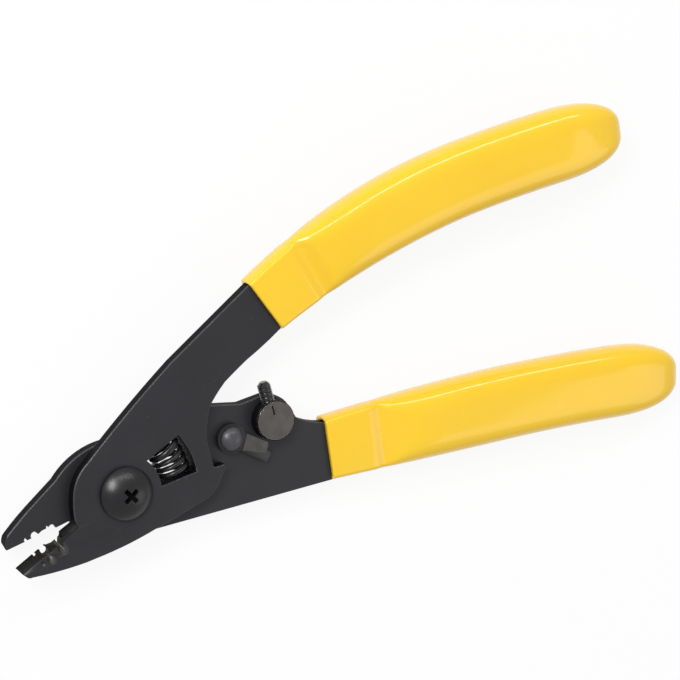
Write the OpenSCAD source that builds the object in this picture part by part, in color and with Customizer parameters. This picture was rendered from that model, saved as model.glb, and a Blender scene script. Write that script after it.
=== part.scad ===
// Fibre stripper: two jaw levers crossed on one pivot screw, with vinyl grips,
// a coil spring set through both plates, a closing stop and a swinging lock.
// Millimetres, +Z up. Origin: on the pivot axis, in the plane the tool rests on.
// +X runs from the pivot towards the handles, +Y towards the front lever's handle.

/* [Display] */

/* [Levers] */
// Thickness of each lever plate
plate_t = 3; // [2.4:0.1:3.4]
// Gap between the two lever plates
plate_gap = 0.05; // [0.02:0.01:0.1]
// Width of the bevel that sharpens each jaw, across the plate's outer face
bevel_w = 1.1; // [0.6:0.1:1.6]
// Flat land left under the bevel, at the cutting edge
bevel_land = 1; // [0.4:0.1:1.6]

/* [Stripping notches] */
// Radius of the coating notch at the tip
small_notch_r = 0.4; // [0.2:0.05:0.45]
// Radius of the buffer notch
medium_notch_r = 0.85; // [0.6:0.05:0.95]
// Radius of the jacket notch next to the pivot
large_notch_r = 0.85; // [0.6:0.05:1]

/* [Pivot] */
// Pivot screw shank diameter
pivot_d = 6; // [5:0.5:6.5]
// Pivot screw head diameter
head_d = 11.7; // [10:0.1:12.5]
// Height of the head over the front plate
head_h = 3.3; // [2.5:0.1:4]
// Height of the head's straight rim
head_rim = 0.7; // [0.3:0.1:1]
// Pivot nut, width across flats
nut_af = 10; // [9:0.5:11]
// Pivot washer thickness
washer_t = 0.8; // [0.5:0.1:1.2]

/* [Spring] */
// Inner radius of the spring window about the pivot
window_r1 = 8.2; // [7.8:0.1:9]
// Outer radius of the spring window about the pivot
window_r2 = 16.6; // [16:0.1:17.2]
// Spring wire diameter
wire_d = 1.3; // [0.9:0.1:1.5]
// Number of spring turns
spring_turns = 4.6; // [4:0.1:5]

/* [Lock] */
// Lock rivet shank diameter
rivet_d = 3; // [2.5:0.1:3.4]
// Lock rivet head diameter
rivet_head_d = 5.1; // [4.6:0.1:5.6]
// Thickness of the lock lever's sheet
lock_t = 1.1; // [0.8:0.1:1.3]
// Length of the lock's strut from the rivet axis
strut_l = 9.95; // [9.4:0.05:10]

/* [Closing stop] */
// Stop post diameter
post_d = 8.9; // [8:0.1:9.2]
// Stop screw thread diameter
stop_d = 3; // [2.5:0.1:3]
// Stop screw length
stop_l = 12; // [11:0.5:13]
// Stop screw thread pitch
stop_pitch = 0.5; // [0.4:0.05:0.7]

/* [Grips] */
// Thickness of the grips' gripping part
grip_t = 10; // [9:0.5:11]
// Thickness of the grips' neck
neck_t = 5.6; // [5.2:0.1:6.2]

/* [Fits] */
// Radial clearance of a running fit
run_fit = 0.05; // [0.02:0.01:0.1]
// Clearance of a seated or pressed fit
seat_fit = 0.03; // [0.01:0.01:0.05]

/* [Hidden] */
$fn = 48;

// Levels: the rear grip's back lies on the resting plane, the rear plate is
// centred in that grip, and the front plate lies on the rear one.
rear_z0 = (grip_t - plate_t) / 2;
rear_z1 = rear_z0 + plate_t;
front_z0 = rear_z1 + plate_gap;
front_z1 = front_z0 + plate_t;
mating_z = rear_z1 + plate_gap / 2;
rear_mid = rear_z0 + plate_t / 2;
front_mid = front_z0 + plate_t / 2;
through = 0.5;      // how far a cut runs past the faces it goes through
cut_h = plate_t + 2 * through;

// Lock and closing stop, both fixed to the rear lever
lock_pos = [26.8, 1.9];
lock_washer_t = 0.25;
lock_z0 = rear_z1 + lock_washer_t + run_fit;
lock_z1 = lock_z0 + lock_t;
post_pos = [37, 2.6];
post_shank_r = 2.6;
stop_z = rear_z1 + stop_d / 2 + 0.1;
stop_tip_y = 11.4;
post_z1 = stop_z + stop_d / 2 + run_fit + 0.08;

// Spring window, in a frame turned to the window's middle line. Its sides open
// by window_half on each side, and start this far from the pivot.
window_turn = 9.2;
window_half = 8.8;
window_low = 1.54;
window_high = 2.75;
window_mid_r = (window_r1 + window_r2) / 2;

// Stripping notches: radius from the pivot, shared by both jaws, then the
// angle on the front jaw and on the rear jaw.
small_at = [22.95, 194.6, 185.7];
medium_at = [20.87, 195, 185.8];
large_at = [16.8, 191.4, 187.1];
function notch_pos(at, jaw) = at[0] * [cos(at[jaw]), sin(at[jaw])];
FRONT = 1;
REAR = 2;

// Outlines, counter-clockwise: each entry is [x, y, bow], where bow is how far
// the edge to the next entry bulges out of the plate (below zero: into it).
// Both start at the jaw's tip; the last stretch is the cutting edge or its back.
front_outline = [
    [-26.8, -7.1, 0], [-25.8, -8.95, 0.2], [-24.6, -9.5, 1.27], [4.2, -9.96, 0.12],
    [17.6, -7.9, 0.5], [21.9, -4.5, 0], [23.3, -3.05, 0.3], [22.9, -2.15, 0],
    [21.1, -2.1, -0.12], [20.6, -1.5, 0], [20.8, 4.3, -0.42], [24.1, 11.7, -0.1],
    [28.2, 14.9, -0.05], [34.3, 17.7, 0.15], [43.7, 21.5, 0],
    [58, 27.1, 0.9], [82, 31.8, 0.5], [124, 32.4, 3.5], [124, 42, 0],
    [112, 44, 0.5], [82, 43.2, 0.7], [58, 38.9, 0.3], [39.5, 33.3, 0],
    [17.6, 23.3, 0.3], [-6, 9.5, 0.85], [-11.3, 3.4, 0.22], [-12.35, -2.07, 0],
    [-15.1, -2.95, 0], [-15.56, -3.15, 0], [-16, -3.9, 0], [-16.9, -4.4, 0],
    [-17.8, -4.75, 0], [-19.36, -4.75, 0], [-19.36, -4.51, 0], [-23, -5.75, 0]];

rear_outline = [
    [-27.4, -2.85, 0], [-23.6, -2.6, 0], [-21.6, -2.4, 0], [-19.8, -2.05, 0],
    [-19, -1.7, 0], [-17.4, -1.55, 0], [-15.95, -2.25, 0], [-13, -2, 0],
    [-12.2, -2.1, 2.35], [-2, -11.35, 0.1], [5.2, -11.05, 0], [47.1, -16, 0],
    [60, -16.6, 0], [82, -20, 0], [124, -28.2, 2], [127.5, -24, 2], [124, -15.2, 0],
    [104, -11, -0.3], [82, -7.5, -0.3], [60, -5, 0], [49, -2.9, -0.4],
    [43, 0.6, 0], [41.7, 4.7, 0.65], [37.3, 8, 0], [31.3, 8.1, 0], [26.3, 9.75, 0.4],
    [12, 12.3, 0.35], [-0.4, 11.4, 1.3], [-13.1, 7.4, 0], [-20.1, 3.8, 0.1],
    [-26.3, 0.1, 0.15], [-27.3, -1.6, 0]];

// Grip stations from the mouth to the round end: outer edge point, inner edge
// point, half thickness, and how far the rounding of the edge reaches in.
neck_h = neck_t / 2;
grip_h = grip_t / 2;
neck_c = 1.4;
grip_c = 3.2;
upper_stations = [
    [38.9, 34.0, 44.0, 21.2, neck_h, neck_c], [44.5, 36.4, 49.4, 22.9, neck_h, neck_c],
    [49.5, 38.4, 54.2, 24.5, neck_h, neck_c], [52.8, 39.6, 57.2, 25.3, neck_h - 0.3, neck_c + 0.4],
    [56.6, 40.9, 60.8, 26.2, grip_h - 0.9, grip_c], [61, 42.1, 65, 26.9, grip_h - 0.2, grip_c],
    [70, 44.2, 73, 28.2, grip_h, grip_c], [80, 45.7, 82, 29.4, grip_h, grip_c],
    [90, 46.4, 91.4, 30, grip_h, grip_c], [101, 46.6, 101.6, 30, grip_h, grip_c],
    [111, 46.5, 111, 29.8, grip_h, grip_c], [120, 45.9, 119.6, 29.6, grip_h, grip_c],
    [129.6, 44.3, 128.4, 29.9, grip_h, grip_c]];
lower_stations = [
    [47.6, -16.1, 48.8, -1.8, neck_h, neck_c], [54, -17.5, 54.8, -2.4, neck_h, neck_c],
    [60.5, -18.5, 61.2, -2.9, neck_h, neck_c], [64, -19.1, 64.8, -3.2, neck_h - 0.3, neck_c + 0.4],
    [67.8, -19.7, 69, -3.8, grip_h - 0.9, grip_c], [73, -20.5, 74.6, -4.3, grip_h - 0.2, grip_c],
    [81, -21.8, 83, -5.3, grip_h, grip_c], [91, -23.5, 93.4, -6.9, grip_h, grip_c],
    [101, -25.4, 103.6, -8.8, grip_h, grip_c], [111, -27.4, 113.8, -10.7, grip_h, grip_c],
    [120, -29.2, 122.8, -12.5, grip_h, grip_c], [129, -30.5, 131.6, -15.2, grip_h, grip_c]];
upper_end_l = 7.6;
lower_end_l = 8.4;

steel = [0.24, 0.24, 0.26];
black = [0.1, 0.1, 0.11];
bare = [0.45, 0.43, 0.41];
vinyl = [0.98, 0.82, 0.2];

// ---- Outline helpers ----

// Points along the arc from a to b that bulges by s to the right of the way
// from a to b, without b itself.
function arc_points(a, b, s) =
    let (c = norm(b - a), u = (b - a) / c, w = [u.y, -u.x], half = 2 * atan(2 * s / c),
         r = c / (2 * sin(half)), m = (a + b) / 2 + w * (s - r),
         n = max(3, ceil(sqrt(abs(s)) * sqrt(c) * 2.2)))
    [for (i = [0:n - 1]) let (f = half * (2 * i / n - 1)) m + r * (u * sin(f) + w * cos(f))];

// An [x, y, bow] outline as plain points
function outline(p) =
    [for (i = [0:len(p) - 1])
        let (q = p[(i + 1) % len(p)], a = [p[i].x, p[i].y], b = [q.x, q.y])
        each (p[i].z == 0 ? [a] : arc_points(a, b, p[i].z))];

// A closed counter-clockwise outline moved outwards by d at each point
function grown(p, d) =
    [for (i = [0:len(p) - 1])
        let (n = len(p), e = p[i] - p[(i + n - 1) % n], f = p[(i + 1) % n] - p[i],
             w = [e.y, -e.x] / norm(e) + [f.y, -f.x] / norm(f))
        p[i] + w * 2 * d / (w * w)];

// ---- Loft helpers ----

function power(x, p) = sign(x) * pow(abs(x), p);

// Smooth curve through four points, between the middle two
function through_points(a, b, c, d, t) =
    b + t * ((c - a) / 2 + t * ((2 * a - 5 * b + 4 * c - d) / 2 + t * (3 * b - a - 3 * c + d) / 2));

// A grip station at a fraction t from row i to the next: edges on a smooth
// curve, thickness and rounding eased so that they never overshoot.
function station(rows, i, t) =
    let (n = len(rows) - 1, e = t * t * (3 - 2 * t),
         s = through_points(rows[max(i - 1, 0)], rows[i], rows[min(i + 1, n)], rows[min(i + 2, n)], t))
    [s[0], s[1], s[2], s[3],
     rows[i][4] + e * (rows[min(i + 1, n)][4] - rows[i][4]),
     rows[i][5] + e * (rows[min(i + 1, n)][5] - rows[i][5])];

// The ring of a station: flat front and back, each edge a rounded curve
function ring(centre, half, h, c, mid) =
    let (w = norm(half), u = half / w)
    [for (side = [1, -1], a = [-90:15:90])
        let (x = side * (w - c + c * power(cos(a), 0.8)), z = side * h * power(sin(a), 0.8))
        [centre.x + u.x * x, centre.y + u.y * x, mid + z]];

// Rings of a grip: rolled lip at the mouth, stations, then the round end
function grip_rings(rows, end_l, mid, steps = 4, end_steps = 9) =
    let (lip = 0.45, r0 = rows[0], last = rows[len(rows) - 1],
         o0 = [r0[0], r0[1]], i0 = [r0[2], r0[3]], o1 = [last[0], last[1]], i1 = [last[2], last[3]],
         u0 = (o0 - i0) / norm(o0 - i0),
         half = (o1 - i1) / 2, c1 = (o1 + i1) / 2, way = sign(c1.x - (o0.x + i0.x) / 2),
         d = [half.y, -half.x] / norm(half) * sign(half.y) * way)
    concat(
        [for (k = [0:2]) let (a = 30 * k, q = lip * (1 - sin(a)), s = lip * (1 - cos(a)))
            ring((o0 + i0) / 2 + [abs(u0.y), -u0.x * sign(u0.y)] * (s - lip),
                 (o0 - i0) / 2 - u0 * q, r0[4] - q, r0[5], mid)],
        [for (i = [0:len(rows) - 2], k = [0:steps - 1]) let (s = station(rows, i, k / steps))
            ring([s[0] + s[2], s[1] + s[3]] / 2, [s[0] - s[2], s[1] - s[3]] / 2, s[4], s[5], mid)],
        [for (k = [0:end_steps]) let (a = min(90 * k / end_steps, 88), q = power(cos(a), 0.9))
            ring(c1 + d * end_l * sin(a), half * q, last[4] * q, last[5] * q, mid)]);

// Closed skin over a list of rings with the same number of points each
module skin(rings) {
    n = len(rings[0]);
    m = len(rings);
    sides = [for (i = [0:m - 2], j = [0:n - 1]) let (k = (j + 1) % n)
        each [[i * n + j, i * n + k, (i + 1) * n + k], [i * n + j, (i + 1) * n + k, (i + 1) * n + j]]];
    polyhedron([for (r = rings) each r],
               concat([[for (j = [n - 1:-1:0]) j]], sides, [[for (j = [0:n - 1]) (m - 1) * n + j]]));
}

// ---- Shared shapes ----

// A hole through one plate that stands on z = 0
module hole(r) translate([0, 0, -through]) cylinder(r = r, h = cut_h);

// The spring window: a stretch of ring between two straight sides
module window() rotate(window_turn) translate([0, 0, -through]) difference() {
    intersection() {
        cylinder(r = window_r2, h = cut_h);
        linear_extrude(cut_h) polygon([[1, -window_low - tan(window_half)],
                                       [40, -window_low - 40 * tan(window_half)],
                                       [40, window_high + 40 * tan(window_half)],
                                       [1, window_high + tan(window_half)]]);
    }
    translate([0, 0, -through]) cylinder(r = window_r1, h = cut_h + 2 * through);
}

// What the bevel takes off a jaw: edge along +X from the origin at z = 0, steel
// on -Y, land against z = 0 and the bevelled face upwards.
module bevel_cut(length) {
    slope = (plate_t - bevel_land) / bevel_w;
    rotate([90, 0, 90]) linear_extrude(length)
        polygon([[through, bevel_land - through * slope], [through, plate_t + 1],
                 [-bevel_w - 1 / slope, plate_t + 1]]);
}

// Relief behind a notch: a bore of radius r that climbs away from the edge, from
// the land up to the bevelled face. lean is the angle of its way out.
module relief(pos, r, away, lean = 45)
    translate([pos.x, pos.y, bevel_land]) rotate(away) rotate([0, lean, 0])
        translate([0, 0, -0.2]) cylinder(r = r, h = 8);

// Low dome of radius r on a straight rim, standing on z = 0
module dome(r, h, rim) {
    cap = h - rim;
    ball = (r * r + cap * cap) / (2 * cap);
    intersection() {
        cylinder(r = r, h = h + 1);
        translate([0, 0, h - ball]) sphere(r = ball, $fn = 96);
    }
}

// ---- Nodes ----

module front_lever() color(steel) translate([0, 0, front_z0]) {
    edge_angle = atan2(-2.07 + 7.1, -12.35 + 26.8);
    down = edge_angle - 90;
    difference() {
        linear_extrude(plate_t) polygon(outline(front_outline));
        hole(pivot_d / 2 + run_fit);
        window();
        translate([-26.8, -7.1, 0]) rotate(edge_angle) translate([-1, 0, 0]) bevel_cut(16.3);
        translate(notch_pos(small_at, FRONT)) hole(small_notch_r);
        translate(notch_pos(medium_at, FRONT)) hole(medium_notch_r);
        translate(notch_pos(large_at, FRONT)) hole(large_notch_r);
        // V slit in the floor of the jacket notch
        translate([0, 0, -through]) linear_extrude(cut_h)
            polygon([[-17.05, -4.2], [-16.62, -5.3], [-16.2, -4]]);
        relief(notch_pos(small_at, FRONT), small_notch_r, down);
        relief(notch_pos(medium_at, FRONT), medium_notch_r + 0.1, down);
        relief([-17.2, -4.2], large_notch_r + 0.25, down);
    }
}

module rear_lever() color(steel) translate([0, 0, rear_z0]) {
    difference() {
        linear_extrude(plate_t) polygon(outline(rear_outline));
        hole(pivot_d / 2 + seat_fit);
        window();
        translate([lock_pos.x, lock_pos.y, 0]) hole(rivet_d / 2 + seat_fit);
        translate([post_pos.x, post_pos.y, 0]) hole(post_shank_r + seat_fit);
        // Bevel on the back face, so the two lands slide past each other
        translate([-12.6, -2.05, plate_t]) rotate(180 + 3) mirror([0, 0, 1])
            bevel_cut(16);
        translate(notch_pos(small_at, REAR)) hole(small_notch_r);
        translate(notch_pos(medium_at, REAR)) hole(medium_notch_r);
        translate(notch_pos(large_at, REAR)) hole(large_notch_r);
        translate([0, 0, -through]) linear_extrude(cut_h)
            polygon([[-17.95, -1.8], [-17.3, -1.8], [-17.35, -1.5], [-17.7, -0.85], [-17.9, -1.5]]);
    }
}

module grip(rows, end_l, lever, mid) difference() {
    skin(grip_rings(rows, end_l, mid));
    translate([0, 0, mid - plate_t / 2 - seat_fit]) linear_extrude(plate_t + 2 * seat_fit)
        polygon(grown(outline(lever), seat_fit));
}

module upper_grip() color(vinyl) grip(upper_stations, upper_end_l, front_outline, front_mid);

module lower_grip() color(vinyl) grip(lower_stations, lower_end_l, rear_outline, rear_mid);

module pivot_screw() color(black) {
    arm_w = 1;
    recess_h = 1.9;
    difference() {
        union() {
            cylinder(d = pivot_d, h = front_z1 + run_fit + 0.1);
            translate([0, 0, front_z1 + run_fit]) dome(head_d / 2, head_h, head_rim);
        }
        // Cross recess: two arms that narrow to the bottom
        translate([0, 0, front_z1 + run_fit + head_h - recess_h]) intersection() {
            union() for (a = [29, 119]) rotate(a)
                translate([-3, -arm_w / 2, 0]) cube([6, arm_w, recess_h + 1]);
            cylinder(r1 = 0.8, r2 = 2.7, h = recess_h + 1);
        }
    }
}

module pivot_washer() color(black) translate([0, 0, rear_z0 - washer_t])
    difference() {
        cylinder(d = nut_af + 1, h = washer_t - 0.02);
        translate([0, 0, -through]) cylinder(d = pivot_d + 2 * run_fit, h = washer_t + 2 * through);
    }

module pivot_nut() color(black) {
    nut_h = rear_z0 - washer_t - 0.02;
    difference() {
        intersection() {
            cylinder(d = nut_af / cos(30), h = nut_h, $fn = 6);
            cylinder(d1 = nut_af + 0.2, d2 = nut_af + 0.2 + 4 * nut_h, h = nut_h);
        }
        translate([0, 0, -through]) cylinder(d = pivot_d + 2 * seat_fit, h = nut_h + 2 * through);
    }
}

// Coil spring bent to the window, so that each end coil lies along a side
module return_spring() color(black) {
    coil_r = (window_r2 - window_r1) / 2 - 0.4 - wire_d / 2;
    spread = (window_mid_r * tan(window_half) * 2 + (window_low + window_high) / cos(window_half))
             - wire_d - 0.16;
    centre_y = (window_high - window_low) / 2 / cos(window_half);
    bend = 2 * window_half;
    bend_r = spread / (bend * PI / 180);
    per_turn = 22;
    count = round(spring_turns * per_turn);
    sides = 8;
    // Frame at fraction t: turn about an axis bend_r inside the coil's middle
    rings = [for (i = [0:count])
        let (t = i / count, f = bend * (t - 0.5), p = 360 * spring_turns * t,
             rise = atan2(spread, 360 * spring_turns * PI / 180 * coil_r))
        [for (k = [0:sides - 1])
            let (a = 360 * k / sides, q = coil_r + wire_d / 2 * cos(a), l = wire_d / 2 * sin(a),
                 x = q * cos(p) - l * sin(rise) * sin(p),
                 z = q * sin(p) + l * sin(rise) * cos(p),
                 y = l * cos(rise))
            [(bend_r + x) * cos(f) - y * sin(f) - bend_r, (bend_r + x) * sin(f) + y * cos(f), z]]];
    rotate(window_turn) translate([window_mid_r, centre_y, mating_z]) skin(rings);
}

module lock_lever() color(bare) translate([lock_pos.x, lock_pos.y, lock_z0]) {
    strut_way = -45;
    tab_way = -33;
    tab_l = 8.2;
    tab_rise = 1.5;
    difference() {
        union() {
            cylinder(r = 3.3, h = lock_t);
            rotate(strut_way) linear_extrude(lock_t)
                polygon([[0, -1.8], [3, -1.5], [strut_l - 0.4, -1.3], [strut_l, -0.9], [strut_l, 0.9],
                         [strut_l - 0.4, 1.3], [3, 1.6], [0, 1.8]]);
            // Thumb tab: bent up from the eye over the strut
            rotate(tab_way) intersection() {
                linear_extrude(lock_t + tab_rise)
                    polygon([[1.4, -1.95], [3, -1.9], [tab_l - 0.5, -1.25], [tab_l, -0.8], [tab_l, 0.8],
                             [tab_l - 0.5, 1.25], [3, 1.9], [1.4, 1.95]]);
                rotate([90, 0, 0]) translate([0, 0, -3]) linear_extrude(6)
                    polygon([[1.4, 0], [3, 0], [tab_l, tab_rise], [tab_l, tab_rise + 0.9],
                             [tab_l - 0.3, tab_rise + lock_t], [3.2, lock_t], [1.4, lock_t]]);
            }
        }
        translate([0, 0, -through]) cylinder(r = rivet_d / 2 + run_fit, h = lock_t + 2 * through);
        // Room for the rivet head
        translate([0, 0, lock_t]) cylinder(d = rivet_head_d + 0.6, h = 4);
    }
}

module lock_rivet() color(black) translate([lock_pos.x, lock_pos.y, 0]) {
    translate([0, 0, rear_z0 - 0.3]) cylinder(d = rivet_d, h = lock_z1 + run_fit + 0.1 - rear_z0 + 0.3);
    translate([0, 0, lock_z1 + run_fit]) dome(rivet_head_d / 2, 1.5, 0.25);
    // Upset end behind the plate
    translate([0, 0, rear_z0 - 0.02]) mirror([0, 0, 1]) dome(rivet_d / 2 + 0.8, 0.6, 0.15);
}

module lock_washer() color(bare) translate([lock_pos.x, lock_pos.y, rear_z1 + 0.02])
    difference() {
        cylinder(r = 2.9, h = lock_washer_t - 0.02);
        translate([0, 0, -through]) cylinder(r = rivet_d / 2 + run_fit, h = lock_washer_t + 2 * through);
    }

module stop_post() color(bare) translate([post_pos.x, post_pos.y, 0]) {
    chamfer = 0.25;
    difference() {
        union() {
            translate([0, 0, rear_z1 + 0.02]) cylinder(d = post_d, h = post_z1 - chamfer - rear_z1 - 0.02);
            translate([0, 0, post_z1 - chamfer])
                cylinder(d1 = post_d, d2 = post_d - 2 * chamfer, h = chamfer);
            translate([0, 0, rear_z0 - 0.1]) cylinder(r = post_shank_r, h = plate_t + 0.3);
            // Peened end behind the plate
            translate([0, 0, rear_z0 - 0.02]) mirror([0, 0, 1]) dome(post_shank_r + 0.8, 0.6, 0.2);
        }
        // Cross hole for the stop screw
        translate([0, 0, stop_z]) rotate([90, 0, 0])
            cylinder(r = stop_d / 2 + run_fit, h = post_d + 4, center = true);
        // Slit where the cross thread breaks out of the top
        translate([-0.22, 1.3, stop_z]) cube([0.44, 2.2, stop_d]);
    }
}

// Set screw: ridged all along, chamfered tip upwards, hex socket at its foot
module stop_screw() color(black)
    translate([post_pos.x, stop_tip_y, stop_z]) rotate([90, 0, 0]) {
        ridge = stop_pitch * 0.55;
        ridges = floor((stop_l - 1.2) / stop_pitch);
        difference() {
            rotate_extrude() polygon(concat(
                [[0, 0], [stop_d / 2 - 0.6, 0], [stop_d / 2 - ridge, 0.35]],
                [for (i = [0:ridges - 1], k = [0, 1])
                    [stop_d / 2 - ridge * (1 - k), 0.6 + (i + k / 2) * stop_pitch]],
                [[stop_d / 2 - ridge, 0.6 + ridges * stop_pitch], [stop_d / 2 - ridge, stop_l - 0.1],
                 [stop_d / 2 - ridge - 0.1, stop_l], [0, stop_l]]));
            translate([0, 0, stop_l - 1.5]) cylinder(d = 1.5 / cos(30), h = 2, $fn = 6);
        }
    }

front_lever();
rear_lever();
upper_grip();
lower_grip();
pivot_screw();
pivot_washer();
pivot_nut();
return_spring();
lock_lever();
lock_rivet();
lock_washer();
stop_post();
stop_screw();
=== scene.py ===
import math

import bmesh
import bpy
import mathutils.geometry
import numpy as np
from mathutils import Matrix, Vector


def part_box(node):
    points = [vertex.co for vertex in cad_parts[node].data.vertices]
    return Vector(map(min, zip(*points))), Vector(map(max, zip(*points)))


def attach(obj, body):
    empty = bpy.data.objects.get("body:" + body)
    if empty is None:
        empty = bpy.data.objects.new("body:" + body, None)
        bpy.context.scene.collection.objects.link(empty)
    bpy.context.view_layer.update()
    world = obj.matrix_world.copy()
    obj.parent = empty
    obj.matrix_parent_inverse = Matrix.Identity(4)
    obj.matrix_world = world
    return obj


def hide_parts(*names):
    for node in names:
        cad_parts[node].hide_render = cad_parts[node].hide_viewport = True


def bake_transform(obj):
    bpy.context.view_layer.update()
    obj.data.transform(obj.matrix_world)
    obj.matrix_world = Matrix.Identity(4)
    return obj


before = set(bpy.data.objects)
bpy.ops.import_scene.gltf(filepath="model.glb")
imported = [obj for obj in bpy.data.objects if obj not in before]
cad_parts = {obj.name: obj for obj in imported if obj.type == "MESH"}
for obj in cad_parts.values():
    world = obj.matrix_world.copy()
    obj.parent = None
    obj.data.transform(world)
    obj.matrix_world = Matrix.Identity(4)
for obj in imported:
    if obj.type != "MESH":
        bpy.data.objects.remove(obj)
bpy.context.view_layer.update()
MM = 0.001


# ---------------------------------------------------------------- materials

def link(tree, a, b):
    tree.links.new(a, b)


def node(tree, kind, **settings):
    made = tree.nodes.new(kind)
    for key, value in settings.items():
        if key.startswith("in_"):
            made.inputs[int(key[3:])].default_value = value
        else:
            setattr(made, key, value)
    return made


def wear_group():
    """Fine flaws that every finish shares: soft mottling, specks, and hairline scratches."""
    tree = bpy.data.node_groups.new("surface_flaws", "ShaderNodeTree")
    for label, value in (("Vector", None), ("Mottle Scale", 90.0), ("Speck Scale", 1400.0),
                         ("Speck Share", 0.3), ("Scratch Scale", 500.0)):
        kind = "NodeSocketVector" if value is None else "NodeSocketFloat"
        made = tree.interface.new_socket(label, in_out="INPUT", socket_type=kind)
        if value is not None:
            made.default_value = value
    for label in ("Mottle", "Specks", "Scratches"):
        tree.interface.new_socket(label, in_out="OUTPUT", socket_type="NodeSocketFloat")
    come = node(tree, "NodeGroupInput")
    go = node(tree, "NodeGroupOutput")
    mottle = node(tree, "ShaderNodeTexNoise", in_3=4.0, in_4=0.6)
    link(tree, come.outputs["Vector"], mottle.inputs["Vector"])
    link(tree, come.outputs["Mottle Scale"], mottle.inputs["Scale"])
    link(tree, mottle.outputs["Fac"], go.inputs["Mottle"])
    speck = node(tree, "ShaderNodeTexNoise", in_3=2.0, in_4=0.5)
    link(tree, come.outputs["Vector"], speck.inputs["Vector"])
    link(tree, come.outputs["Speck Scale"], speck.inputs["Scale"])
    low = node(tree, "ShaderNodeMath", operation="SUBTRACT", in_0=1.0)
    link(tree, come.outputs["Speck Share"], low.inputs[1])
    cut = node(tree, "ShaderNodeMapRange", interpolation_type="SMOOTHSTEP")
    link(tree, speck.outputs["Fac"], cut.inputs["Value"])
    link(tree, low.outputs[0], cut.inputs["From Min"])
    cut.inputs["From Max"].default_value = 0.95
    link(tree, cut.outputs["Result"], go.inputs["Specks"])
    squeeze = node(tree, "ShaderNodeMapping")
    squeeze.inputs["Scale"].default_value = (0.06, 1.0, 1.0)
    squeeze.inputs["Rotation"].default_value = (0.0, 0.0, 0.5)
    link(tree, come.outputs["Vector"], squeeze.inputs["Vector"])
    scratch = node(tree, "ShaderNodeTexNoise", in_3=3.0, in_4=0.7)
    link(tree, squeeze.outputs["Vector"], scratch.inputs["Vector"])
    link(tree, come.outputs["Scratch Scale"], scratch.inputs["Scale"])
    thin = node(tree, "ShaderNodeMapRange", interpolation_type="SMOOTHSTEP")
    link(tree, scratch.outputs["Fac"], thin.inputs["Value"])
    thin.inputs["From Min"].default_value = 0.62
    thin.inputs["From Max"].default_value = 0.8
    link(tree, thin.outputs["Result"], go.inputs["Scratches"])
    return tree


FLAWS = wear_group()


def finish_material(name, dark, light, rough, metallic=0.0, speck=0.3, speck_colour=None, bump=0.1,
                    mottle_scale=90.0, speck_scale=1400.0, coat=0.0, coat_rough=0.1, specular=0.5,
                    scratch=0.1):
    """A finish between two shades, with specks, faint scratches and roughness that follow the flaws."""
    mat = bpy.data.materials.new(name)
    mat.use_nodes = True
    tree = mat.node_tree
    shader = tree.nodes["Principled BSDF"]
    coords = node(tree, "ShaderNodeTexCoord")
    flaws = node(tree, "ShaderNodeGroup")
    flaws.node_tree = FLAWS
    link(tree, coords.outputs["Object"], flaws.inputs["Vector"])
    flaws.inputs["Mottle Scale"].default_value = mottle_scale
    flaws.inputs["Speck Scale"].default_value = speck_scale
    flaws.inputs["Speck Share"].default_value = speck
    shade = node(tree, "ShaderNodeMix", data_type="RGBA")
    shade.inputs["A"].default_value = (*dark, 1)
    shade.inputs["B"].default_value = (*light, 1)
    link(tree, flaws.outputs["Mottle"], shade.inputs["Factor"])
    dots = node(tree, "ShaderNodeMix", data_type="RGBA")
    dots.inputs["B"].default_value = (*(speck_colour or light), 1)
    link(tree, shade.outputs["Result"], dots.inputs["A"])
    link(tree, flaws.outputs["Specks"], dots.inputs["Factor"])
    link(tree, dots.outputs["Result"], shader.inputs["Base Color"])
    gloss = node(tree, "ShaderNodeMapRange")
    link(tree, flaws.outputs["Mottle"], gloss.inputs["Value"])
    gloss.inputs["To Min"].default_value = rough * 0.85
    gloss.inputs["To Max"].default_value = rough * 1.15
    link(tree, gloss.outputs["Result"], shader.inputs["Roughness"])
    height = node(tree, "ShaderNodeMath", operation="MULTIPLY_ADD", in_1=scratch)
    link(tree, flaws.outputs["Scratches"], height.inputs[0])
    link(tree, flaws.outputs["Specks"], height.inputs[2])
    relief = node(tree, "ShaderNodeBump", in_0=bump)
    relief.inputs["Distance"].default_value = 0.00004
    link(tree, height.outputs[0], relief.inputs["Height"])
    link(tree, relief.outputs["Normal"], shader.inputs["Normal"])
    shader.inputs["Metallic"].default_value = metallic
    shader.inputs["Coat Weight"].default_value = coat
    shader.inputs["Coat Roughness"].default_value = coat_rough
    shader.inputs["Specular IOR Level"].default_value = specular
    shader.inputs["IOR"].default_value = 1.5
    return mat


blacked_plate = finish_material("blacked_plate", (0.0098, 0.0096, 0.0128), (0.0205, 0.02, 0.0252), 0.4,
                                speck=0.36, speck_colour=(0.042, 0.042, 0.048), bump=0.25, specular=0.42,
                                mottle_scale=70.0, scratch=0.3)
# Lighter rims and edges: edge wear, painted lighter still as a highlight where plate rims face the key
# light.
worn_edge_and_highlight = finish_material("worn_edge_and_highlight", (0.022, 0.022, 0.024), (0.075, 0.075, 0.08), 0.27,
                              metallic=0.35, speck=0.36, bump=0.2, mottle_scale=240.0)
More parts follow.
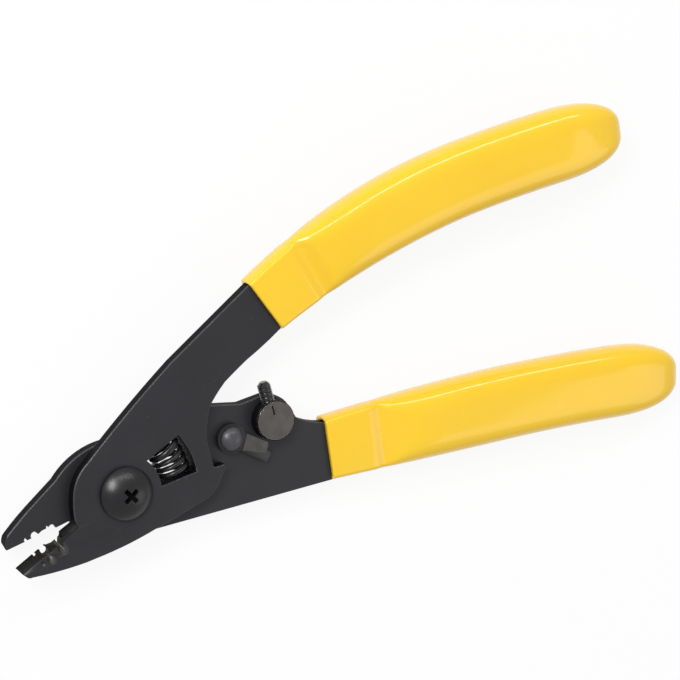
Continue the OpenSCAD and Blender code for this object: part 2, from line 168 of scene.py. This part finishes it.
# Near-black for walls and recesses, darker than the black faces beside them: painted shade (on the post,
# over its real black walls).
shaded_black_wall = finish_material("shaded_black_wall", (0.003, 0.003, 0.0035), (0.007, 0.007, 0.008), 0.55, speck=0.3,
                             bump=0.2, specular=0.04)
ground_jaw = finish_material("ground_jaw", (0.002, 0.002, 0.002), (0.015, 0.0135, 0.0125), 0.5, speck=0.42,
                             speck_colour=(0.07, 0.066, 0.06), bump=0.6, mottle_scale=700.0,
                             speck_scale=2600.0, specular=0.14)
scooped_steel = finish_material("scooped_steel", (0.008, 0.0065, 0.005), (0.085, 0.079, 0.072), 0.36,
                                metallic=0.3, speck=0.4, speck_colour=(0.05, 0.036, 0.024), bump=0.4,
                                mottle_scale=420.0, speck_scale=2200.0)
black_gloss = finish_material("black_gloss", (0.005, 0.005, 0.0062), (0.012, 0.012, 0.014), 0.3, speck=0.32,
                              speck_colour=(0.035, 0.035, 0.037), bump=0.3, mottle_scale=300.0,
                              specular=0.45)
thread_black = finish_material("thread_black", (0.004, 0.004, 0.005), (0.012, 0.012, 0.013), 0.2,
                               speck=0.32,
                               speck_colour=(0.06, 0.058, 0.055), bump=0.3, mottle_scale=700.0, coat=0.6)
spring_black = finish_material("spring_black", (0.003, 0.003, 0.0035), (0.009, 0.009, 0.01), 0.26,
                               speck=0.25, bump=0.15, mottle_scale=400.0, specular=0.45)
stained_face = finish_material("stained_face", (0.045, 0.039, 0.036), (0.108, 0.097, 0.088), 0.45,
                               metallic=0.2,
                               speck=0.4, speck_colour=(0.12, 0.07, 0.055), bump=0.35, mottle_scale=420.0,
                               scratch=0.5)
# Near-white edges: bare steel, painted brighter still as a glint.
bare_edge_and_glint = finish_material("bare_edge_and_glint", (0.42, 0.41, 0.4), (0.7, 0.69, 0.67), 0.28, metallic=0.6,
                              speck=0.3, bump=0.2, mottle_scale=500.0)
worn_tab = finish_material("worn_tab", (0.03, 0.029, 0.027), (0.1, 0.094, 0.086), 0.42, metallic=0.25,
                           speck=0.36, speck_colour=(0.17, 0.15, 0.13), bump=0.3, mottle_scale=600.0,
                           scratch=0.6)
blued_rivet = finish_material("blued_rivet", (0.02, 0.02, 0.025), (0.09, 0.09, 0.102), 0.35, speck=0.34,
                              speck_colour=(0.13, 0.13, 0.15), bump=0.35, mottle_scale=380.0)
yellow_vinyl = finish_material("yellow_vinyl", (0.82, 0.5, 0.012), (0.89, 0.57, 0.018), 0.27, speck=0.22,
                               speck_colour=(0.74, 0.42, 0.012), bump=0.1, mottle_scale=45.0,
                               speck_scale=900.0, coat=0.7, coat_rough=0.07, specular=0.3)


# ---------------------------------------------------------------- mesh helpers

def add(mesh, name, *materials):
    made = bpy.data.objects.new(name, mesh)
    bpy.context.scene.collection.objects.link(made)
    for m in materials:
        made.data.materials.append(m)
    return made


def smooth(mesh, angle=35):
    mesh.polygons.foreach_set("use_smooth", [True] * len(mesh.polygons))
    mesh.set_sharp_from_angle(angle=math.radians(angle))


def settled(made):
    """The mesh that an object's modifiers give, with the modifiers taken off."""
    bpy.context.view_layer.update()
    mesh = bpy.data.meshes.new_from_object(made.evaluated_get(bpy.context.evaluated_depsgraph_get()))
    made.modifiers.clear()
    return mesh


def stands_for(made, node_name, body):
    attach(made, body)
    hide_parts(node_name)
    return made


def merged(node_name, flat=0.0):
    """A copy of a CAD node's mesh with its doubles merged, and flat faces joined up to an angle."""
    work = bmesh.new()
    work.from_mesh(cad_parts[node_name].data)
    bmesh.ops.remove_doubles(work, verts=work.verts, dist=2e-6)
    if flat:
        bmesh.ops.dissolve_limit(work, angle_limit=math.radians(flat), verts=work.verts, edges=work.edges)
    return work


def rim_loops(flat):
    """The rims of a set of flat faces, each with the faces' inside on one hand."""
    inside = set(flat)
    after = {}
    for face in flat:
        for corner in face.loops:
            if any(other not in inside for other in corner.edge.link_faces):
                after[corner.vert] = corner.link_loop_next.vert
    loops = []
    while after:
        start = next(iter(after))
        loop = [start]
        here = after.pop(start)
        while here is not start and here in after:
            loop.append(here)
            here = after.pop(here)
        loops.append(loop)
    return loops


KEY_LIGHT_SIDE = Vector((-0.5, 0.86))     # the way, towards the key light, that the rims painted with a highlight (and wear) face


def soften_rim(work, level, radius, share, steps=4):
    """Round the edge between a plate's flat face at this level and its upright walls."""
    flat = [f for f in work.faces if all(abs(v.co.z - level) < 2e-6 for v in f.verts)]
    up = 1 if sum(f.normal.z for f in flat) > 0 else -1
    loops = rim_loops(flat)
    inside = set(flat)
    inner = []
    rings = []
    for loop in loops:
        count = len(loop)
        inward, reach = [], []
        for i, vert in enumerate(loop):
            before = (vert.co - loop[i - 1].co).xy.normalized()
            behind = (loop[(i + 1) % count].co - vert.co).xy.normalized()
            one, two = (up * Vector((-d.y, d.x)) for d in (before, behind))
            mitre = (one + two) / max(0.35, 1 + one.dot(two))
            upright = all(abs(f.normal.z) < 0.02 for f in vert.link_faces if f not in inside)
            inward.append(mitre)
            reach.append(radius * share(vert.co * 1000) if upright else 0.0)
        rings.append((loop, inward, reach, [vert.co.copy() for vert in loop]))
    bmesh.ops.delete(work, geom=flat, context="FACES_ONLY")
    for loop, inward, reach, place in rings:
        for vert, r in zip(loop, reach):
            vert.co.z = level - up * r
        # Rims that face the key light take material 1, the lighter edge: a painted highlight, with wear.
        facing_key_light = [way.dot(KEY_LIGHT_SIDE) < -0.1 for way in inward]
        last = loop
        for k in range(1, steps + 1):
            a = math.pi / 2 * k / steps
            ring = []
            for at, way, r in zip(place, inward, reach):
                off = way * r * (1 - math.cos(a))
                ring.append(work.verts.new((at.x + off.x, at.y + off.y,
                                            level - up * r * (1 - math.sin(a)))))
            for i in range(len(loop)):
                j = (i + 1) % len(loop)
                made = work.faces.new((last[i], last[j], ring[j], ring[i]))
                made.material_index = 1 if facing_key_light[i] else 0
            last = ring
        inner.append(last)
    verts = [v for ring in inner for v in ring]
    for tri in mathutils.geometry.tessellate_polygon([[v.co for v in ring] for ring in inner]):
        a, b, c = (verts[i] for i in tri)
        if (b.co - a.co).cross(c.co - a.co).z * up < 0:
            b, c = c, b
        try:
            work.faces.new((a, b, c))
        except ValueError:
            pass


BEVEL_W, BEVEL_H = 1.1, 2.0            # a jaw's bevel, across and down the plate


def plate(node_name, body, radius, share, *materials):
    """A lever plate with worn rims painted lighter where they face the key light (painted highlight), walls
    painted darker as shade, and ground jaws, standing for its CAD node.
    """
    work = merged(node_name)
    low, high = (c[2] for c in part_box(node_name))
    bevel_slope = BEVEL_W / math.hypot(BEVEL_W, BEVEL_H)
    for face in work.faces:
        lean = abs(face.normal.z)
        if lean < 0.02:
            # Upright walls take the near-black wall material: painted shade.
            face.material_index = 2
        elif lean < 0.998:
            face.material_index = 3 if abs(lean - bevel_slope) < 0.01 else 4
    for level in (low, high):
        soften_rim(work, level, radius * MM, share)
    bmesh.ops.remove_doubles(work, verts=work.verts, dist=4e-7)
    mesh = bpy.data.meshes.new(node_name + "_plate")
    work.to_mesh(mesh)
    work.free()
    made = add(mesh, node_name + "_plate", *materials)
    smooth(mesh, 32)
    even = made.modifiers.new("flat faces stay flat", "WEIGHTED_NORMAL")
    even.mode = "FACE_AREA"
    even.weight = 100
    even.keep_sharp = True
    made.data = settled(made)
    return stands_for(made, node_name, body)


def dressed(node_name, body, width, materials, paint=None, sharp=32):
    """A CAD node's own shape with small rounded edges, standing for it.

    The first material is the surface's, the second its edges', which on some pieces is lighter: wear with a
    painted highlight or glint. paint gives the number of a face's material from its middle in millimetres,
    its normal and the number it has.
    """
    work = merged(node_name, 0.6)
    layer = work.edges.layers.float.new("bevel_weight_edge")
    for edge in work.edges:
        if len(edge.link_faces) == 2 and edge.calc_face_angle(0) > math.radians(sharp):
            edge[layer] = 1.0
    mesh = bpy.data.meshes.new(node_name + "_dressed")
    work.to_mesh(mesh)
    work.free()
    made = add(mesh, node_name + "_dressed", *materials)
    bevel = made.modifiers.new("edges", "BEVEL")
    bevel.limit_method = "WEIGHT"
    bevel.width = width * MM
    bevel.segments = 2
    # Bevelled edges take the second material: on some pieces a painted highlight or glint, with wear.
    bevel.material = 1
    bevel.use_clamp_overlap = True
    made.data = settled(made)
    for face in made.data.polygons if paint else ():
        face.material_index = paint(face.center * 1000, face.normal, face.material_index)
    smooth(made.data, 40)
    return stands_for(made, node_name, body)


# ---------------------------------------------------------------- levers

def in_window(at):
    return 6.5 < at.x < 17.5 and -3 < at.y < 9


def front_rim(at):
    """How much of the rim's full round the front lever has at a place."""
    if at.x < -12.2:
        return 0.2
    return 0.6 if in_window(at) else 0.4 if at.xy.length < 4 else 1.0


def rear_rim(at):
    if at.x < -12.6 and at.y < -0.2:
        return 0.2
    return 0.6 if in_window(at) else 0.4 if at.xy.length < 4 else 1.0


RIM_R = 0.28                    # round of a plate's rim, in millimetres
# Face, rim (wear with painted highlight), walls (painted shade), ground jaw and scoops.
PLATE_MATERIALS = (blacked_plate, worn_edge_and_highlight, shaded_black_wall, ground_jaw, scooped_steel)
plate("front_lever", "front", RIM_R, front_rim, *PLATE_MATERIALS)
plate("rear_lever", "rear", RIM_R, rear_rim, *PLATE_MATERIALS)


# ---------------------------------------------------------------- grips

# Each grip's middle line sets off from its mouth at [x, y, heading] in
# millimetres and degrees, and takes two bends: radius and length of the first,
# and radius of the rest. Then come its length and its width at the mouth.
GRIP_W, NECK_H, GRIP_H = 16.7, 2.8, 5.0
NECK_ROUND, GRIP_ROUND = 1.4, 5.6
NECK_L, SHOULDER_L, SWELL_L, END_L, NOSE_L = 13.4, 15.0, 45.0, 19.0, 17.0
LIP, DIP, DIP_L = 0.45, 0.7, 3.0
POCKET_WALL, POCKET_H, POCKET_ROUND, POCKET_L = 0.75, 1.56, 0.3, 2.5
GRIPS = {
    "upper_grip": dict(body="front", mid=8.05, turn=33.7, away=49.7, heading=21.5, first=(-155, 58),
                       rest=-400, length=96.5, mouth=13.8),
    "lower_grip": dict(body="rear", mid=5.0, turn=-10.5, away=49.0, heading=-7.0, first=(-1500, 40),
                       rest=-500, length=91.5, mouth=14.4),
}


def bend_on(start, s, r):
    """Where a bend of radius r leads from [x, y, heading] after a length s."""
    x, y, a = start
    b = a + s / r
    return (x + r * (math.sin(b) - math.sin(a)), y + r * (math.cos(a) - math.cos(b)), b)


def line_at(grip, s):
    turn = math.radians(grip["turn"])
    mouth = (grip["away"] * math.cos(turn), grip["away"] * math.sin(turn), math.radians(grip["heading"]))
    radius, length = grip["first"]
    if s < length:
        return bend_on(mouth, s, radius)
    return bend_on(bend_on(mouth, length, radius), s - length, grip["rest"])


def grip_half_width(grip, s):
    swell = grip["mouth"] + (GRIP_W - grip["mouth"]) * math.sin(math.pi / 2 * min(1, max(0, s) / SWELL_L))
    t = max(0, 1 - (grip["length"] - s) / END_L)
    return swell / 2 * (1 - min(t, 0.9995) ** 2.5) ** 0.4


def grip_ring(grip, s, w, h, c, per_side=21):
    """Points round the middle line at s: flat front and back, rounded edges that reach c in."""
    x0, y0, heading = line_at(grip, s)
    ring = []
    for side in (1, -1):
        for a in np.linspace(-math.pi / 2, math.pi / 2, per_side):
            x = side * (w - c + c * abs(math.cos(a)) ** 0.8)
            z = side * h * math.copysign(abs(math.sin(a)) ** 0.8, math.sin(a))
            ring.append((x0 + math.sin(heading) * x, y0 - math.cos(heading) * x, grip["mid"] + z))
    return ring


def grip_body_ring(grip, s):
    """The ring of the dipped skin at s: lip, neck, valley, shoulder, grip and round end."""
    length = grip["length"]
    inset = LIP * (1 - math.sqrt(max(0, 1 - max(0, 1 - s / LIP) ** 2)))
    ease = 1 - (1 - max(0, min(1, (s - NECK_L) / SHOULDER_L))) ** 2.6
    nose = (1 - min(max(0, 1 - (length - s) / NOSE_L), 0.9995) ** 2.4) ** 0.5
    valley = DIP / 2 * (1 + math.cos(math.pi * min(1, abs(s - NECK_L) / DIP_L)))
    w = grip_half_width(grip, s) - inset
    h = (NECK_H - valley + ease * (GRIP_H - NECK_H)) * nose - inset
    c = (NECK_ROUND + ease * (GRIP_ROUND - NECK_ROUND)) * nose
    return grip_ring(grip, s, w, h, min(c, w))


def grip_skin(name):
    """A dipped grip: a pocket that the steel enters, a rolled lip, the body and its round end."""
    grip = GRIPS[name]
    length = grip["length"]
    ways = [LIP * (1 - math.cos(math.pi / 2 * k / 6)) for k in range(7)]
    ways += list(np.arange(1.5, NECK_L - 3, 1.0)) + list(np.linspace(NECK_L - 3, NECK_L + SHOULDER_L, 42))
    ways += list(np.arange(NECK_L + SHOULDER_L + 1.5, length - END_L - 0.5, 1.5))
    ways += list(np.linspace(length - END_L, length - NOSE_L, 14))
    ways += [length - NOSE_L + NOSE_L * math.sin(math.pi / 2 * k / 18) for k in range(1, 19)]
    pocket = grip_half_width(grip, 0) - POCKET_WALL
    rings = [grip_ring(grip, depth, pocket, POCKET_H, POCKET_ROUND) for depth in (POCKET_L, 0.1)]
    rings += [grip_body_ring(grip, s) for s in ways]
    n = len(rings[0])
    points = [tuple(c * MM for c in p) for ring in rings for p in ring]
    faces = [[i * n + j, i * n + (j + 1) % n, (i + 1) * n + (j + 1) % n, (i + 1) * n + j]
             for i in range(len(rings) - 1) for j in range(n)]
    faces.append(list(range(n))[::-1])
    faces.append([(len(rings) - 1) * n + j for j in range(n)])
    mesh = bpy.data.meshes.new(name + "_skin")
    mesh.from_pydata(points, [], faces)
    work = bmesh.new()
    work.from_mesh(mesh)
    bmesh.ops.recalc_face_normals(work, faces=work.faces)
    work.to_mesh(mesh)
    work.free()
    smooth(mesh, 60)
    stands_for(add(mesh, name + "_skin", yellow_vinyl), name, grip["body"])


for grip_name in GRIPS:
    grip_skin(grip_name)


# ---------------------------------------------------------------- coils and threads

def tree_of(name, inputs):
    tree = bpy.data.node_groups.new(name, "GeometryNodeTree")
    tree.interface.new_socket("Geometry", in_out="INPUT", socket_type="NodeSocketGeometry")
    for label, kind, value in inputs:
        made = tree.interface.new_socket(label, in_out="INPUT", socket_type=kind)
        if value is not None:
            made.default_value = value
    tree.interface.new_socket("Geometry", in_out="OUTPUT", socket_type="NodeSocketGeometry")
    return tree


def coil_tree():
    """A round or ridged wire wound on a helix along +Z."""
    tree = tree_of("wound_wire", (("Turns", "NodeSocketFloat", 4.6),
                                  ("Coil Radius", "NodeSocketFloat", 0.003),
                                  ("Length", "NodeSocketFloat", 0.008),
                                  ("Wire Radius", "NodeSocketFloat", 0.00065),
                                  ("Wire Sides", "NodeSocketInt", 20), ("Steps", "NodeSocketInt", 56),
                                  ("Finish", "NodeSocketMaterial", None)))
    come, go = node(tree, "NodeGroupInput"), node(tree, "NodeGroupOutput")
    spiral = node(tree, "GeometryNodeCurveSpiral")
    link(tree, come.outputs["Steps"], spiral.inputs["Resolution"])
    link(tree, come.outputs["Turns"], spiral.inputs["Rotations"])
    link(tree, come.outputs["Coil Radius"], spiral.inputs["Start Radius"])
    link(tree, come.outputs["Coil Radius"], spiral.inputs["End Radius"])
    link(tree, come.outputs["Length"], spiral.inputs["Height"])
    wire = node(tree, "GeometryNodeCurvePrimitiveCircle")
    link(tree, come.outputs["Wire Sides"], wire.inputs["Resolution"])
    link(tree, come.outputs["Wire Radius"], wire.inputs["Radius"])
    sweep = node(tree, "GeometryNodeCurveToMesh")
    sweep.inputs["Fill Caps"].default_value = True
    link(tree, spiral.outputs["Curve"], sweep.inputs["Curve"])
    link(tree, wire.outputs["Curve"], sweep.inputs["Profile Curve"])
    real = node(tree, "GeometryNodeRealizeInstances")
    link(tree, sweep.outputs["Mesh"], real.inputs["Geometry"])
    paint = node(tree, "GeometryNodeSetMaterial")
    link(tree, real.outputs["Geometry"], paint.inputs["Geometry"])
    link(tree, come.outputs["Finish"], paint.inputs["Material"])
    link(tree, paint.outputs["Geometry"], go.inputs["Geometry"])
    return tree


COIL = coil_tree()


def wound(name, material, **values):
    """The mesh that the wound-wire tree gives for these values."""
    base = bpy.data.objects.new(name, bpy.data.meshes.new(name))
    bpy.context.scene.collection.objects.link(base)
    made = base.modifiers.new("coil", "NODES")
    made.node_group = COIL
    for item in COIL.interface.items_tree:
        if item.in_out == "INPUT" and item.name in values:
            made[item.identifier] = values[item.name]
        if item.in_out == "INPUT" and item.name == "Finish":
            made[item.identifier] = material
    bpy.context.view_layer.update()
    mesh = bpy.data.meshes.new_from_object(base.evaluated_get(bpy.context.evaluated_depsgraph_get()))
    base.modifiers.clear()
    bpy.data.objects.remove(base)
    return mesh


def place(mesh, rule):
    points = np.empty(len(mesh.vertices) * 3)
    mesh.vertices.foreach_get("co", points)
    mesh.vertices.foreach_set("co", rule(points.reshape(-1, 3)).reshape(-1))
    mesh.update()


def outwards(mesh):
    work = bmesh.new()
    work.from_mesh(mesh)
    bmesh.ops.recalc_face_normals(work, faces=work.faces)
    work.to_mesh(mesh)
    work.free()


WINDOW_TURN, WINDOW_HALF, WINDOW_MID = 9.2, 8.8, 12.4
COIL_R, WIRE_R, TURNS = 3.175, 0.625, 4.1
OPEN_TURN = 1.4                 # how much more open the last turn stands
SPREAD, COIL_Y, COIL_Z = 6.77, 0.612, 6.525


def spring_share(turns):
    """Share of the spring's spread that a number of its turns takes up."""
    even = TURNS - 1
    return (np.minimum(turns, even) + OPEN_TURN * np.maximum(0, turns - even)) / (even + OPEN_TURN)


def spring_place(p):
    """From a straight coil along Z to the bent one in the levers' windows."""
    bend = math.radians(2 * WINDOW_HALF)
    bend_r = SPREAD * MM / bend
    f = (spring_share(TURNS * p[:, 2] / (SPREAD * MM)) - 0.5) * bend
    x = (bend_r + p[:, 0]) * np.cos(f) - bend_r + WINDOW_MID * MM
    y = (bend_r + p[:, 0]) * np.sin(f) + COIL_Y * MM
    t = math.radians(WINDOW_TURN)
    return np.stack([x * math.cos(t) - y * math.sin(t), x * math.sin(t) + y * math.cos(t),
                     p[:, 1] + COIL_Z * MM], axis=1)


coil = wound("coil", spring_black, **{"Turns": TURNS, "Coil Radius": COIL_R * MM, "Length": SPREAD * MM,
                                      "Wire Radius": WIRE_R * MM})
place(coil, spring_place)
outwards(coil)
smooth(coil, 60)
spring = add(coil, "return_spring_coil", spring_black)
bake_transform(spring)
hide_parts("return_spring")


# Stop screw: a real thread wound on a core with a chamfered tip and a hex socket
def stop_screw():
    low, high = (Vector(c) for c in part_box("stop_screw"))
    centre = (low + high) / 2
    length, radius, pitch, ridge = high.y - low.y, (high.x - low.x) / 2, 0.0005, 0.00018
    core, sides, socket_l, socket_r = radius - 1.2 * ridge, 48, 0.0015, 0.00075
    thread = wound("thread", thread_black, **{
        "Turns": (length - 0.0012) / pitch, "Coil Radius": radius - ridge, "Length": length - 0.0012,
        "Wire Radius": ridge, "Wire Sides": 8, "Steps": 28})
    place(thread, lambda p: p + np.array([0, 0, 0.0005]))
    work = bmesh.new()
    work.from_mesh(thread)
    rings = []
    for along, r, hexed in ((socket_l, 0.0002, True), (socket_l, socket_r, True), (0, socket_r, True),
                            (0, core - 0.0002, False), (0.0003, core, False),
                            (length - 0.0005, core, False), (length, core - 0.0005, False)):
        ring = []
        for k in range(sides):
            a = 2 * math.pi * k / sides
            q = r / math.cos((a % (math.pi / 3)) - math.pi / 6) if hexed else r
            ring.append(work.verts.new((q * math.cos(a), q * math.sin(a), along)))
        rings.append(ring)
    for one, two in zip(rings, rings[1:]):
        for k in range(sides):
            j = (k + 1) % sides
            work.faces.new((one[k], one[j], two[j], two[k]))
    work.faces.new(rings[0][::-1])
    work.faces.new(rings[-1])
    bmesh.ops.recalc_face_normals(work, faces=work.faces)
    mesh = bpy.data.meshes.new("stop_screw_thread")
    work.to_mesh(mesh)
    work.free()
    place(mesh, lambda p: np.stack([p[:, 0] + centre.x, low.y + p[:, 2], centre.z - p[:, 1]], axis=1))
    smooth(mesh, 40)
    made = add(mesh, "stop_screw_thread", thread_black)
    stands_for(made, "stop_screw", "stop")


stop_screw()


# ---------------------------------------------------------------- small steel pieces

LOCK_T = 1.1
STRUT_WAY = Vector((math.cos(math.radians(-45)), math.sin(math.radians(-45))))
EYE_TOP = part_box("lock_lever")[0][2] / MM + LOCK_T
EYE_R, STRUT_END = 3, 8.6
RIVET = (Vector(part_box("lock_rivet")[0]) + Vector(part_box("lock_rivet")[1])).xy / 2 / MM
HEAD_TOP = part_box("pivot_screw")[1][2] / MM
RECESS_H, RECESS_R = 2.3, 3.1
DOME_DROP = 1.2                 # within RECESS_R the dome itself lies less deep than this


def lock_paint(at, normal, number):
    """Black eye and strut, a bare thumb tab, and bright edges on the strut's end: bare steel with a painted
    glint.
    """
    from_rivet = at.xy - RIVET
    if at.z > EYE_TOP + 0.03 and from_rivet.length > EYE_R:
        return 2
    return 3 if from_rivet.dot(STRUT_WAY) > STRUT_END and number == 1 else number


def head_paint(at, normal, number):
    """A recess in a glossy head, painted dull near-black: painted shade."""
    below = HEAD_TOP - at.z
    shaded_recess = below < RECESS_H and at.xy.length < RECESS_R and (normal.z < 0.7 or below > DOME_DROP)
    return 2 if shaded_recess else number


def post_paint(at, normal, number):
    """A stained top face on black walls, which are painted darker still as shade."""
    return 2 if number == 0 and normal.z < 0.9 else number


dressed("pivot_screw", "rear", 0.1, (black_gloss, black_gloss, shaded_black_wall), head_paint)
dressed("pivot_washer", "rear", 0.1, (black_gloss, worn_edge_and_highlight))
dressed("pivot_nut", "rear", 0.15, (black_gloss, worn_edge_and_highlight))
dressed("lock_lever", "lock", 0.15, (black_gloss, worn_edge_and_highlight, worn_tab, bare_edge_and_glint),
        lock_paint)
dressed("lock_rivet", "rear", 0.05, (blued_rivet, blued_rivet))
dressed("lock_washer", "rear", 0.04, (worn_tab, worn_tab))
# The post's rim is painted near-white all round (bare edge with a painted glint); its walls are painted
# shade.
dressed("stop_post", "rear", 0.15, (stained_face, bare_edge_and_glint, shaded_black_wall), post_paint)


# ---------------------------------------------------------------- stage, light, camera

def stage_material():
    """White paper: plain white to the camera, with the soft shadow kept."""
    mat = bpy.data.materials.new("paper")
    mat.use_nodes = True
    tree = mat.node_tree
    shader = tree.nodes["Principled BSDF"]
    shader.inputs["Base Color"].default_value = (0.8, 0.8, 0.8, 1)
    shader.inputs["Roughness"].default_value = 0.9
    shader.inputs["Specular IOR Level"].default_value = 0.0
    glow = node(tree, "ShaderNodeEmission")
    glow.inputs["Color"].default_value = (1, 1, 1, 1)
    path = node(tree, "ShaderNodeLightPath")
    seen = node(tree, "ShaderNodeMath", operation="MAXIMUM")
    link(tree, path.outputs["Is Camera Ray"], seen.inputs[0])
    link(tree, path.outputs["Is Glossy Ray"], seen.inputs[1])
    share = node(tree, "ShaderNodeMath", operation="MULTIPLY", in_1=0.9)
    link(tree, seen.outputs[0], share.inputs[0])
    mix = node(tree, "ShaderNodeMixShader")
    link(tree, share.outputs[0], mix.inputs[0])
    link(tree, shader.outputs[0], mix.inputs[1])
    link(tree, glow.outputs[0], mix.inputs[2])
    link(tree, mix.outputs[0], tree.nodes["Material Output"].inputs["Surface"])
    return mat


FLOOR_HALF, FLOOR_DROP = 3, 0.00002
floor_mesh = bpy.data.meshes.new("floor")
corners = ((-1, -1), (1, -1), (1, 1), (-1, 1))
floor_mesh.from_pydata([(FLOOR_HALF * x, FLOOR_HALF * y, -FLOOR_DROP) for x, y in corners], [],
                       [(0, 1, 2, 3)])
floor = add(floor_mesh, "floor", stage_material())

world = bpy.data.worlds.new("studio")
bpy.context.scene.world = world
world.use_nodes = True
tree = world.node_tree
back = tree.nodes["Background"]
back.inputs["Color"].default_value = (1, 1, 1, 1)
path = node(tree, "ShaderNodeLightPath")
seen = node(tree, "ShaderNodeMath", operation="MAXIMUM")
link(tree, path.outputs["Is Camera Ray"], seen.inputs[0])
link(tree, path.outputs["Is Transmission Ray"], seen.inputs[1])
level = node(tree, "ShaderNodeMapRange")
link(tree, seen.outputs[0], level.inputs["Value"])
level.inputs["To Min"].default_value = 0.56
level.inputs["To Max"].default_value = 1.0
link(tree, level.outputs["Result"], back.inputs["Strength"])


def softbox(name, at, aim, size, watts):
    light = bpy.data.lights.new(name, "AREA")
    light.shape = "RECTANGLE"
    light.size, light.size_y = size
    light.energy = watts
    made = bpy.data.objects.new(name, light)
    bpy.context.scene.collection.objects.link(made)
    made.location = at
    made.rotation_euler = (Vector(aim) - Vector(at)).to_track_quat("-Z", "Y").to_euler()


LIT = (0.05, 0.01, 0)           # where the lights aim, in metres
softbox("key", (-0.5, 0.6, 0.75), LIT, (0.45, 0.3), 6.5)
softbox("strip", (0.12, 0.8, 0.72), LIT, (1.7, 0.07), 4.5)
softbox("fill", (0.7, -0.5, 0.7), LIT, (0.6, 0.6), 1.2)

CAMERA_AT = Vector((-0.16751, 0.18183, 0.53935))
camera = bpy.data.cameras.new("camera")
camera.lens = 146.11
camera.sensor_width = 36.0
camera.clip_start = 0.01
camera.clip_end = 20
eye = bpy.data.objects.new("camera", camera)
bpy.context.scene.collection.objects.link(eye)
right, up = Vector((0.86302, -0.24460, 0.442)), Vector((0.33995, 0.92840, -0.15))
right.normalize()
away = right.cross(up).normalized()
up = away.cross(right).normalized()
turn = Matrix((right, up, away)).transposed().to_4x4()
turn.translation = CAMERA_AT
eye.matrix_world = turn
bpy.context.scene.camera = eye
bpy.context.scene.view_settings.view_transform = "Standard"
